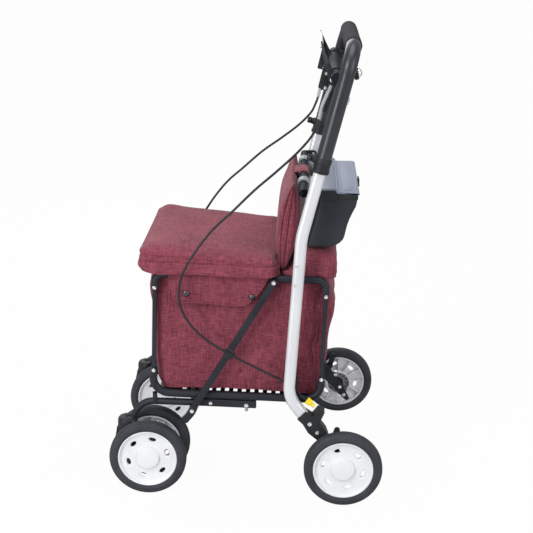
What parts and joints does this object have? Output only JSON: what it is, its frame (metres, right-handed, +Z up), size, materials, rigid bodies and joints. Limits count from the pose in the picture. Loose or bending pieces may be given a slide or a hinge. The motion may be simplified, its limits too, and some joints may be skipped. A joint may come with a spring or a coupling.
{
  "type": "shopping rollator",
  "caption": "Four-corner walking aid with a push handle, brake bar, folding seat over a shopping bag, lidded box, twin front casters and braked rear wheels.",
  "frame": {"origin": "middle of the wheels' footprint on the floor", "axes": "+Z up, -Y is forward, +X is the user's left"},
  "size_m": [0.4972, 0.5768, 0.9594],
  "materials": {
    "silver_tube": "satin silver anodised flat-sided tube",
    "black_tube": "semi-gloss black powder-coated steel tube",
    "black_plastic": "fine-grained black moulded plastic",
    "burgundy_cloth": "matt burgundy melange polyester weave",
    "wheel_rim": "pale silver-white moulded wheel disc",
    "tyre": "matt dark grey solid tyre",
    "grip_foam": "dull black foam",
    "box_plastic": "dark charcoal grained plastic",
    "lid_plastic": "mid grey grained plastic",
    "bright_metal": "bright plated steel",
    "cable_sheath": "smooth black cable sheath"
  },
  "bodies": {
    "uprights": {"upright_left": "silver_tube", "upright_right": "silver_tube", "rear_bracket_left": "black_plastic", "rear_bracket_right": "black_plastic", "brake_cable_left": "cable_sheath", "brake_cable_right": "cable_sheath", "crossbar": "black_tube", "utility_box": "box_plastic", "backrest": "burgundy_cloth"},
    "brake_arm_left": {"brake_arm_left": "black_plastic"},
    "brake_arm_right": {"brake_arm_right": "black_plastic"},
    "rear_wheel_left": {"rear_wheel_left_rim": "wheel_rim", "rear_wheel_left_tyre": "tyre"},
    "rear_wheel_right": {"rear_wheel_right_rim": "wheel_rim", "rear_wheel_right_tyre": "tyre"},
    "handle": {"handle_tube": "black_tube", "handle_grip": "grip_foam", "brake_carrier": "black_tube", "bell": "black_plastic", "leg_collar_left": "black_plastic", "leg_collar_right": "black_plastic", "brake_bracket_left": "black_plastic", "brake_bracket_right": "black_plastic"},
    "knob_left": {"height_knob_left": "black_plastic"},
    "knob_right": {"height_knob_right": "black_plastic"},
    "brake_lever": {"brake_bar": "black_tube"},
    "bell_thumb_lever": {"bell_lever": "bright_metal"},
    "box_cover": {"box_lid": "lid_plastic"},
    "box_catch": {"box_latch": "black_plastic"},
    "seat_body": {"seat_frame": "black_tube", "shopping_bag": "burgundy_cloth", "bag_rear_cover": "burgundy_cloth"},
    "seat_lid": {"seat_board": "black_plastic", "seat_cushion": "burgundy_cloth"},
    "front_links": {"front_link_left": "black_tube", "front_link_right": "black_tube"},
    "rear_links": {"rear_link_left": "black_tube", "rear_link_right": "black_tube"},
    "struts": {"strut_left": "black_tube", "strut_right": "black_tube"},
    "base": {"tray": "black_plastic", "tray_rail_left": "black_tube", "tray_rail_right": "black_tube", "channel_left": "black_tube", "channel_right": "black_tube", "front_leg_left": "black_tube", "front_leg_right": "black_tube", "caster_housing_left": "black_plastic", "caster_housing_right": "black_plastic"},
    "caster_left": {"caster_fork_left": "black_plastic"},
    "caster_wheel_outer_left": {"caster_wheel_outer_left_rim": "wheel_rim", "caster_wheel_outer_left_tyre": "tyre"},
    "caster_wheel_inner_left": {"caster_wheel_inner_left_rim": "wheel_rim", "caster_wheel_inner_left_tyre": "tyre"},
    "caster_right": {"caster_fork_right": "black_plastic"},
    "caster_wheel_outer_right": {"caster_wheel_outer_right_rim": "wheel_rim", "caster_wheel_outer_right_tyre": "tyre"},
    "caster_wheel_inner_right": {"caster_wheel_inner_right_rim": "wheel_rim", "caster_wheel_inner_right_tyre": "tyre"}
  },
  "joints": [
    {"name": "fold", "type": "hinge", "parent": "uprights", "child": "base", "pos_m": [0, 0.09725, 0.28935], "axis": [-1, 0, 0], "range_deg": [0, 58], "deforming": ["shopping_bag", "seat_cushion", "backrest", "brake_cable_left", "brake_cable_right"]},
    {"name": "seat_frame_hinge", "type": "hinge", "parent": "uprights", "child": "seat_body", "pos_m": [0, 0.1044, 0.4727], "axis": [-1, 0, 0], "range_deg": [0, 58]},
    {"name": "front_link_pivot", "type": "hinge", "parent": "seat_body", "child": "front_links", "pos_m": [0, -0.1854, 0.4522], "axis": [-1, 0, 0], "range_deg": [-58, 0]},
    {"name": "rear_link_pivot", "type": "hinge", "parent": "seat_body", "child": "rear_links", "pos_m": [0, 0.1666, 0.4359], "axis": [-1, 0, 0], "range_deg": [-58, 0]},
    {"name": "strut_pivot", "type": "hinge", "parent": "seat_body", "child": "struts", "pos_m": [0, 0.0597, 0.4697], "axis": [-1, 0, 0], "range_deg": [-78.4, 0]},
    {"name": "seat_lid_hinge", "type": "hinge", "parent": "seat_body", "child": "seat_lid", "pos_m": [0, 0.0569, 0.53], "axis": [-1, 0, 0], "range_deg": [0, 32]},
    {"name": "handle_height", "type": "slide", "parent": "uprights", "child": "handle", "axis": [0, 0.2504, 0.9681], "range_m": [0, 0.09], "deforming": ["brake_cable_left", "brake_cable_right"]},
    {"name": "brake_bar_pivot", "type": "hinge", "parent": "handle", "child": "brake_lever", "pos_m": [0, 0.1609, 0.888], "axis": [-1, 0, 0], "range_deg": [0, 28], "stiffness_Nm_per_rad": 2},
    {"name": "bell_lever_pivot", "type": "hinge", "parent": "handle", "child": "bell_thumb_lever", "pos_m": [0.1722, 0.20099, 0.84024], "axis": [0, 0.9681, -0.2504], "range_deg": [0, 25], "stiffness_Nm_per_rad": 0.1},
    {"name": "box_lid_hinge", "type": "hinge", "parent": "uprights", "child": "box_cover", "pos_m": [0, 0.1514, 0.6594], "axis": [1, 0, 0], "range_deg": [0, 100]},
    {"name": "box_latch_pivot", "type": "hinge", "parent": "box_cover", "child": "box_catch", "pos_m": [0, 0.2324, 0.648], "axis": [1, 0, 0], "range_deg": [0, 60]},
    {"name": "brake_arm_left_pivot", "type": "hinge", "parent": "uprights", "child": "brake_arm_left", "pos_m": [0.206, 0.1844, 0.13], "axis": [1, 0, 0], "range_deg": [0, 3.5]},
    {"name": "height_knob_left_turn", "type": "hinge", "parent": "handle", "child": "knob_left", "pos_m": [0.1975, 0.13384, 0.73239], "axis": [0, -0.9681, 0.2504], "range_deg": [0, 180]},
    {"name": "rear_wheel_left_spin", "type": "hinge", "parent": "uprights", "child": "rear_wheel_left", "pos_m": [0.2351, 0.2064, 0.082], "axis": [1, 0, 0], "continuous": true},
    {"name": "caster_left_swivel", "type": "hinge", "parent": "base", "child": "caster_left", "pos_m": [0.156, -0.2536, 0.11], "axis": [0, 0, 1], "continuous": true},
    {"name": "caster_wheel_outer_left_spin", "type": "hinge", "parent": "caster_left", "child": "caster_wheel_outer_left", "pos_m": [0.196, -0.2064, 0.082], "axis": [1, 0, 0], "continuous": true},
    {"name": "caster_wheel_inner_left_spin", "type": "hinge", "parent": "caster_left", "child": "caster_wheel_inner_left", "pos_m": [0.116, -0.2064, 0.082], "axis": [1, 0, 0], "continuous": true},
    {"name": "brake_arm_right_pivot", "type": "hinge", "parent": "uprights", "child": "brake_arm_right", "pos_m": [-0.206, 0.1844, 0.13], "axis": [1, 0, 0], "range_deg": [0, 3.5]},
    {"name": "height_knob_right_turn", "type": "hinge", "parent": "handle", "child": "knob_right", "pos_m": [-0.1975, 0.13384, 0.73239], "axis": [0, -0.9681, 0.2504], "range_deg": [0, 180]},
    {"name": "rear_wheel_right_spin", "type": "hinge", "parent": "uprights", "child": "rear_wheel_right", "pos_m": [-0.2351, 0.2064, 0.082], "axis": [1, 0, 0], "continuous": true},
    {"name": "caster_right_swivel", "type": "hinge", "parent": "base", "child": "caster_right", "pos_m": [-0.156, -0.2536, 0.11], "axis": [0, 0, 1], "continuous": true},
    {"name": "caster_wheel_outer_right_spin", "type": "hinge", "parent": "caster_right", "child": "caster_wheel_outer_right", "pos_m": [-0.196, -0.2064, 0.082], "axis": [1, 0, 0], "continuous": true},
    {"name": "caster_wheel_inner_right_spin", "type": "hinge", "parent": "caster_right", "child": "caster_wheel_inner_right", "pos_m": [-0.116, -0.2064, 0.082], "axis": [1, 0, 0], "continuous": true}
  ],
  "couplings": [
    {"joint": "seat_frame_hinge", "follows": "fold", "ratio": 1},
    {"joint": "front_link_pivot", "follows": "fold", "ratio": -1},
    {"joint": "rear_link_pivot", "follows": "fold", "ratio": -1},
    {"joint": "strut_pivot", "follows": "fold", "ratio": -1.35},
    {"joint": "brake_arm_left_pivot", "follows": "brake_bar_pivot", "ratio": 0.125},
    {"joint": "brake_arm_right_pivot", "follows": "brake_bar_pivot", "ratio": 0.125}
  ]
}
